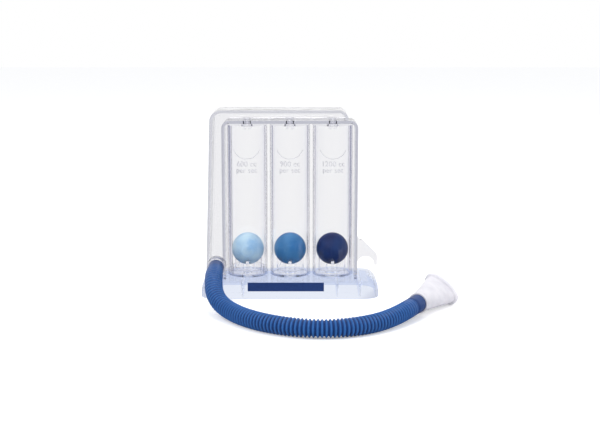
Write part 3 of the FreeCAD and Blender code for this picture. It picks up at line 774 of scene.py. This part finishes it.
@dataclass
class Mouthpiece:
    """Round socket that flares into a flat oval mouth with a thick rounded rim."""

    seat: HoseEnd = HoseEnd()
    roll: float = 36.0
    length: float = 44.0 * MM
    socket: float = 7.85 * MM
    socket_bore: float = 6.15 * MM
    socket_lead: float = 0.2 * MM
    socket_depth: float = 10.75 * MM
    throat: float = 4.7 * MM
    throat_end: float = 12.0 * MM
    flare_start: float = 5.0 * MM
    half_width: float = 13.2 * MM
    half_height: float = 5.9 * MM
    wall: float = 1.5 * MM
    rim: float = 2.1 * MM
    rim_depth: float = 3.2 * MM
    rim_power: float = 0.5
    edge: float = 0.35 * MM
    straight_outside: float = 0.75
    straight_inside: float = 0.45
    squareness: float = 0.35
    columns: int = 96

    def sections(self) -> tuple[np.ndarray, np.ndarray, np.ndarray, np.ndarray]:
        """Stations out along the outside, round the rim and back along the inside.

        Outside, both half axes go from the socket's radius to the mouth's between the start of the flare
        and the rim, mostly in a straight line with some smooth step in it. The rim adds a bead whose
        section is half a rounded rectangle. Inside, the bore narrows to the throat, and below the
        shoulder it is the round socket with a small lead-in at its mouth.

        Returns:
            Distance along the axis, wide half axis, narrow half axis and roundness exponent.
        """
        flare_end = self.length - self.rim_depth
        out_at = np.concatenate([[0.0, self.edge],
                                 np.linspace(0.8 * MM, self.flare_start, 8)[:-1],
                                 np.linspace(self.flare_start, flare_end - 0.2 * MM, 40)])
        step = np.clip((out_at - self.flare_start) / (flare_end - self.flare_start), 0.0, 1.0)
        ease = self.straight_outside * step + (1.0 - self.straight_outside) * smooth_step(step)
        rounded = np.where(out_at < self.edge / 2.0, -self.edge, 0.0)
        wide = self.socket + (self.half_width - self.socket) * ease + rounded
        high = self.socket + (self.half_height - self.socket) * ease + rounded
        turn = np.linspace(-0.5 * math.pi, 0.5 * math.pi, 13)
        bead_out = self.rim * np.cos(turn) ** self.rim_power
        bead_at = flare_end + self.rim_depth / 2.0 * (1.0 + np.sin(turn))
        shoulder = self.socket_depth + np.array([0.05, -0.05]) * MM
        in_at = np.concatenate([np.linspace(self.length - 0.5 * MM, self.throat_end + 0.2 * MM, 36),
                                [self.throat_end - 0.1 * MM], shoulder,
                                np.linspace(9.0 * MM, 0.4 * MM, 6), [0.0]])
        inner = np.clip((in_at - self.throat_end) / (self.length - self.throat_end), 0.0, 1.0)
        inner_ease = self.straight_inside * inner + (1.0 - self.straight_inside) * smooth_step(inner)
        bore_wide = self.throat + (self.half_width - self.wall - self.throat) * inner_ease
        bore_high = self.throat + (self.half_height - self.wall - self.throat) * smooth_step(inner)
        socket_bore = self.socket_bore + self.socket_lead * (in_at == 0.0)
        bore_wide, bore_high = (np.where(in_at < self.socket_depth, socket_bore, bore)
                                for bore in (bore_wide, bore_high))
        at = np.concatenate([out_at, bead_at, in_at])
        a = np.concatenate([wide, self.half_width + bead_out, bore_wide])
        b = np.concatenate([high, self.half_height + bead_out, bore_high])
        flat = smooth_step((at - self.flare_start) / (self.length - self.flare_start))
        return at, a, b, 2.0 + self.squareness * flat

    def build(self) -> bpy.types.Object:
        """The mouthpiece's closed wall.

        A point at angle t of a station is a |cos t|^(2/n) sign(cos t) along the wide axis plus
        b |sin t|^(2/n) sign(sin t) along the narrow one.

        Returns:
            The mouthpiece.
        """
        at, a, b, power = self.sections()
        axis = self.seat.axis()
        level, upward = cross_axes(axis)
        turn = math.radians(self.roll)
        wide_axis = level * math.cos(turn) + upward * math.sin(turn)
        high_axis = -level * math.sin(turn) + upward * math.cos(turn)
        t = np.linspace(0.0, 2.0 * math.pi, self.columns, endpoint=False)[None, :]
        exponent = 2.0 / power[:, None]
        x = a[:, None] * np.sign(np.cos(t)) * np.abs(np.cos(t)) ** exponent
        y = b[:, None] * np.sign(np.sin(t)) * np.abs(np.sin(t)) ** exponent
        across = x[..., None] * wide_axis + y[..., None] * high_axis
        points = self.seat.socket_mouth() + at[:, None, None] * axis + across
        piece = new_piece("mouthpiece_flared", points, grid_faces(len(at), self.columns, Seam.TORUS))
        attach(piece, "mouth")
        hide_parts("mouthpiece")
        LOG.info("mouthpiece: %d stations, lowest point %.2f mm", len(at), points[..., 2].min() / MM)
        return piece

    def dress(self, piece: bpy.types.Object) -> None:
        """Gives the mouthpiece, a piece that build made, its milky plastic."""
        piece.data.materials.append(MilkyPlastic("mouthpiece_milky").material())


@dataclass
class ChamberMarks:
    """Raised flow step, its unit and a shallow arc on the front of a chamber."""

    side: Side
    number: str
    radius: float = 15.8 * MM
    raise_by: float = 0.28 * MM
    number_height: float = 4.2 * MM
    unit_height: float = 4.0 * MM
    number_z: float = 103.7 * MM
    unit_z: float = 98.8 * MM
    capital_share: float = 0.7
    sink: float = 0.1 * MM
    arc_radius: float = 11.8 * MM
    arc_z: float = 119.6 * MM
    arc_reach: float = 68.0
    arc_thick: float = 0.22 * MM
    arc_lift: float = 0.02 * MM
    arc_rows: int = 49
    arc_columns: int = 10

    def centre(self) -> tuple[float, float]:
        """The chamber's axis in plan, read from its tube.

        Returns:
            Its x and y.
        """
        low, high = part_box(f"chamber_tube_{self.side.value}")
        return (low[0] + high[0]) / 2, (low[1] + high[1]) / 2

    def wrap(self, flat: np.ndarray) -> np.ndarray:
        """Lays flat points on the chamber's front.

        A flat point (u, v, h) goes to angle u / R from the front, at height v, and at R + h from the
        axis.

        Args:
            flat: points as distance across, height above the table and height above the surface.

        Returns:
            The points in place.
        """
        x, y = self.centre()
        angle = flat[..., 0] / self.radius
        reach = self.radius + flat[..., 2]
        return np.stack([x + reach * np.sin(angle), y - reach * np.cos(angle), flat[..., 1]], axis=-1)

    def lettering(self, name: str, words: str, height: float, z: float) -> bpy.types.Object:
        """Raised words on the chamber. Their front stands proud of it, and their back is sunk a little.

        Args:
            name: the piece's name.
            words: what it reads.
            height: height of the capitals.
            z: height of the words' middle.

        Returns:
            The piece.
        """
        font = bpy.data.curves.new(name, "FONT")
        font.body = words
        font.size = height / self.capital_share
        font.align_x = "CENTER"
        font.align_y = "CENTER"
        font.extrude = self.raise_by
        font.resolution_u = 4
        holder = bpy.data.objects.new(name, font)
        bpy.context.scene.collection.objects.link(holder)
        bpy.context.view_layer.update()
        mesh = bpy.data.meshes.new_from_object(holder)
        bpy.data.objects.remove(holder)
        flat = np.empty(3 * len(mesh.vertices))
        mesh.vertices.foreach_get("co", flat)
        flat = flat.reshape(-1, 3)
        lift = np.where(flat[:, 2] > 0.0, self.raise_by, -self.sink)
        placed = self.wrap(np.column_stack([flat[:, 0], flat[:, 1] + z, lift]))
        mesh.vertices.foreach_set("co", placed.astype(np.float32).ravel())
        mesh.update()
        piece = bpy.data.objects.new(name, mesh)
        bpy.context.scene.collection.objects.link(piece)
        return piece

    def arc(self) -> bpy.types.Object:
        """A thin rounded ridge along the lower part of a circle, narrower at its ends and closed there.

        The ridge's line is (R sin t, z0 - R cos t), with t up to the reach on both sides of the lowest
        point, and its section is a circle sunk into the chamber by nearly half. Each end is closed by
        quads between opposite points of the last ring.

        Returns:
            The piece.
        """
        reach = math.radians(self.arc_reach)
        t = np.linspace(-reach, reach, self.arc_rows)[:, None]
        section = np.linspace(0.0, 2.0 * math.pi, self.arc_columns, endpoint=False)[None, :]
        thick = self.arc_thick * np.sqrt(np.clip(1.0 - (np.abs(t) / reach) ** 8, 0.02, 1.0))
        out = self.arc_radius + thick * np.cos(section)
        height = thick * np.sin(section) + self.arc_lift
        points = self.wrap(np.stack([out * np.sin(t), self.arc_z - out * np.cos(t), height], axis=-1))
        k = np.arange(self.arc_columns // 2 - 1)
        cap = np.stack([-k, k + 1, k + 2, -k - 1], axis=-1) % self.arc_columns
        last_cap = cap + (self.arc_rows - 1) * self.arc_columns
        faces = np.vstack([grid_faces(self.arc_rows, self.arc_columns, Seam.ROUND), cap[:, ::-1], last_cap])
        return new_piece(f"arc_{self.side.value}", points, faces[:, ::-1])

    def build(self) -> list[bpy.types.Object]:
        """The chamber's marks.

        Returns:
            The two lines of lettering and the arc.
        """
        pieces = [
            self.lettering(f"step_{self.side.value}", f"{self.number} cc", self.number_height, self.number_z),
            self.lettering(f"unit_{self.side.value}", "per sec", self.unit_height, self.unit_z),
            self.arc(),
        ]
        for piece in pieces:
            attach(piece, "body")
        LOG.info("chamber %s: marked %s", self.side.value, self.number)
        return pieces

    def dress(self, pieces: list[bpy.types.Object], finish: bpy.types.Material) -> None:
        """Gives the marks their etched plastic.

        Args:
            pieces: the chamber's marks.
            finish: the material that all the chambers' marks share.
        """
        for piece in pieces:
            piece.data.materials.clear()
            piece.data.materials.append(finish)


@dataclass
class Housing:
    """The clear parts carried over from the CAD: base, frame, webs, duct, port, chambers and fittings."""

    gap: float = 0.03 * MM

    def ease(self, node: bpy.types.Object) -> None:
        """Draws a moulding's skin in by a hair, as real mouldings clear each other, so that light
        passes from one to the next through air.

        Args:
            node: the moulding.
        """
        weld = node.modifiers.new("weld", "WELD")
        weld.merge_threshold = 0.002 * MM
        skin = node.modifiers.new("gap", "DISPLACE")
        skin.strength = -self.gap
        skin.mid_level = 0.0

    def dress(self) -> None:
        """Gives each clear part its plastic. The base bends the sight so little that its thick walls stay
        evenly pale, and a gloss coat keeps its highlights.
        """
        tube_face, frame_face = (0.997, 0.996, 1.0, 1.0), (0.965, 0.962, 0.976, 1.0)
        base_face, base_edge = (0.80, 0.842, 0.942, 1.0), (0.74, 0.785, 0.905, 1.0)
        base_passed = (0.30, 0.42, 0.72, 1.0)
        finishes = {
            "base_shell": ClearPlastic("base_clear", base_face, base_edge, base_passed, depth=8.0, ior=1.008,
                                       coat=0.5),
            "body_frame": ClearPlastic("frame_clear", frame_face, depth=30.0, ripple=0.05),
            "chamber_web": ClearPlastic("web_clear", depth=24.0, ripple=0.03),
            "manifold_duct": ClearPlastic("duct_clear", depth=18.0),
            "manifold_back_cover": ClearPlastic("cover_clear", depth=10.0),
            "hose_port": ClearPlastic("port_clear", depth=20.0),
            "chamber_tube": ClearPlastic("tube_clear", tube_face, depth=10.0, ripple=0.015),
            "ball_seat": ClearPlastic("seat_clear", depth=20.0, ior=1.25),
            "ball_stop": ClearPlastic("stop_clear", depth=10.0, ior=1.08),
            "flow_ring": ClearPlastic("ring_clear", depth=20.0, ior=1.3),
        }
        materials = {key: finish.material() for key, finish in finishes.items()}
        for name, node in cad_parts.items():
            for key, material in materials.items():
                if name.startswith(key):
                    node.data.materials[0] = material
                    self.ease(node)
                    LOG.info("%s: %s", name, material.name)


@dataclass
class Balls:
    """The three balls, paler to darker from left to right."""

    def dress(self) -> None:
        """Gives each ball its colour, centred on the ball where it rests."""
        colours = {
            Side.LEFT: ((0.53, 0.70, 0.79, 1.0), (0.27, 0.46, 0.68, 1.0)),
            Side.MIDDLE: ((0.070, 0.210, 0.410, 1.0), (0.034, 0.145, 0.350, 1.0)),
            Side.RIGHT: ((0.009, 0.016, 0.075, 1.0), (0.013, 0.036, 0.130, 1.0)),
        }
        for side, (light, deep) in colours.items():
            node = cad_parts[f"ball_{side.value}"]
            low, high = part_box(node.name)
            centre = tuple((a + b) / 2 for a, b in zip(low, high))
            node.data.materials[0] = BallPlastic(f"ball_{side.value}_blue", light, deep, centre).material()
            LOG.info("%s: centre %s", node.name, tuple(round(v, 4) for v in centre))


@dataclass
class Label:
    """Printed strip on the base's front."""

    def dress(self) -> None:
        """Gives the strip its print."""
        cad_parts["label_strip"].data.materials[0] = PrintedFilm("label_ink").material()
        LOG.info("label_strip: label_ink")


@dataclass
class Studio:
    """White table and backdrop, soft lamps and the photograph's camera."""

    camera_place: Place = (0.0079, -0.977, 0.236)
    pitch_down: float = 10.05
    lens: float = 75.42
    table: float = 3.0
    room: Colour = (0.14, 0.15, 0.21, 1.0)
    beside: Colour = (0.42, 0.43, 0.54, 1.0)
    white: Colour = (1.0, 1.0, 1.0, 1.0)
    daylight: float = 0.75
    glow: float = 0.30
    lane_start: float = 0.16
    aim: Place = (0.0, -0.03, 0.06)
    lamps: tuple[tuple[str, Place, float, float], ...] = (
        ("key_lamp", (-0.55, -0.75, 0.95), 0.6, 5.5),
        ("fill_lamp", (0.75, -0.55, 0.60), 0.6, 2.5),
        ("top_lamp", (0.05, 0.25, 1.05), 0.7, 4.0),
    )
    bounces: int = 24

    def first_sight(self, sheet: NodeSheet) -> tuple[bpy.types.NodeSocket, bpy.types.NodeSocket]:
        """Tells sight rays from the rays that carry light.

        Args:
            sheet: the node tree that asks.

        Returns:
            1 for a sight ray that a glossy or clear surface sent on, and 1 for the camera's own.
        """
        rays = sheet.add("ShaderNodeLightPath").outputs
        bent = sheet.number("MAXIMUM", rays["Is Glossy Ray"], rays["Is Transmission Ray"])
        sight = sheet.number("LESS_THAN", rays["Diffuse Depth"], 0.5)
        return sheet.number("MULTIPLY", bent, sight), rays["Is Camera Ray"]

    def floor(self) -> None:
        """A white table. The eye sees it full white, with the object's shadow.

        Glossy and clear surfaces see a white lane behind the object, grey at its sides and a dim room in
        front. The lane widens with the distance behind: |x| / (y + start) is the slope away from its
        middle, and the lane turns grey where the slope is large.
        """
        half = self.table
        corners = np.array([(-half, -half, 0.0), (half, -half, 0.0), (half, half, 0.0), (-half, half, 0.0)])
        piece = new_piece("table_top", corners, np.array([[0, 1, 2, 3]]))
        sheet = NodeSheet.of("table_white")
        bent, straight = self.first_sight(sheet)
        where = sheet.place()
        grain = sheet.ramp(sheet.noise(where, 40.0, 2.0), 0.3, 0.7, 0.0, 1.0)
        tone = sheet.blend(grain, (0.90, 0.90, 0.90, 1.0), (0.92, 0.92, 0.92, 1.0))
        sheet.feed(sheet.shader, {"Base Color": tone, "Roughness": 0.9, "Specular IOR Level": 0.0,
                                  "Emission Color": self.white,
                                  "Emission Strength": sheet.number("MULTIPLY", straight, self.glow)})
        split = sheet.add("ShaderNodeSeparateXYZ", {"Vector": where}).outputs
        behind = sheet.number("MAXIMUM", sheet.number("ADD", split["Y"], self.lane_start), 1.0 * MM)
        slope = sheet.number("DIVIDE", sheet.number("ABSOLUTE", split["X"]), behind)
        lane = sheet.blend(sheet.ramp(slope, 0.38, 0.60, 0.0, 1.0), self.white, self.beside)
        around = sheet.blend(sheet.ramp(split["Y"], -0.15, -0.03, 0.0, 1.0), self.room, lane)
        even = sheet.add("ShaderNodeEmission", {"Color": around, "Strength": 1.0})
        sheet.show(sheet.mix(bent, sheet.shader.outputs[0], even.outputs[0]))
        piece.data.materials.append(sheet.material)

    def sky(self) -> None:
        """White where the eye looks and behind the object, a dim room in front of it."""
        world = bpy.data.worlds.new("studio")
        bpy.context.scene.world = world
        sheet = NodeSheet(world)
        sheet.feed(sheet.shader, {"Color": (0.97, 0.98, 1.0, 1.0), "Strength": self.daylight})
        way = sheet.add("ShaderNodeTexCoord").outputs["Generated"]
        split = sheet.add("ShaderNodeSeparateXYZ", {"Vector": way})
        around = sheet.blend(sheet.ramp(split.outputs["Y"], -0.55, 0.15, 0.0, 1.0), self.room, self.white)
        seen = sheet.add("ShaderNodeBackground", {"Color": around, "Strength": 1.0})
        bent, straight = self.first_sight(sheet)
        sight = sheet.number("MAXIMUM", bent, straight)
        sheet.show(sheet.mix(sight, sheet.shader.outputs[0], seen.outputs[0]))

    def lamp(self, name: str, place: Place, size: float, watts: float) -> None:
        """A square soft lamp that faces the object.

        Args:
            name: the lamp's name.
            place: where it hangs.
            size: its side.
            watts: its power.
        """
        light = bpy.data.lights.new(name, "AREA")
        light.size = size
        light.energy = watts
        holder = bpy.data.objects.new(name, light)
        holder.location = place
        towards = Vector(self.aim) - Vector(place)
        holder.rotation_euler = towards.to_track_quat("-Z", "Y").to_euler()
        bpy.context.scene.collection.objects.link(holder)

    def camera(self) -> None:
        """The camera where the photograph was taken, pitched down without turn or shift."""
        data = bpy.data.cameras.new("camera")
        data.lens = self.lens
        data.sensor_width = 36.0
        data.clip_start = 0.01
        holder = bpy.data.objects.new("camera", data)
        holder.location = self.camera_place
        holder.rotation_euler = (math.radians(90.0 - self.pitch_down), 0.0, 0.0)
        bpy.context.scene.collection.objects.link(holder)
        bpy.context.scene.camera = holder

    def build(self) -> None:
        """Sets the whole studio."""
        self.camera()
        self.floor()
        self.sky()
        for name, place, size, watts in self.lamps:
            self.lamp(name, place, size, watts)
        scene = bpy.context.scene
        scene.view_settings.view_transform = "Standard"
        scene.cycles.max_bounces = self.bounces
        scene.cycles.transmission_bounces = self.bounces
        scene.cycles.transparent_max_bounces = self.bounces
        LOG.info("studio: camera, table, sky and lamps set")


def main() -> None:
    """Builds the studio, then each sub-assembly, and reports the pieces."""
    logging.basicConfig(level=logging.INFO, format="%(name)s: %(message)s")
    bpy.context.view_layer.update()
    Studio().build()
    mouthpiece = Mouthpiece()
    mouthpiece.dress(mouthpiece.build())
    Cuff().build()
    hose = Hose()
    hose.dress(hose.build())
    Housing().dress()
    etched = FrostedPlastic("mark_frosted").material()
    for side, number in ((Side.LEFT, "600"), (Side.MIDDLE, "900"), (Side.RIGHT, "1200")):
        marks = ChamberMarks(side, number)
        marks.dress(marks.build(), etched)
    Balls().dress()
    Label().dress()


if __name__ == "__main__":
    main()
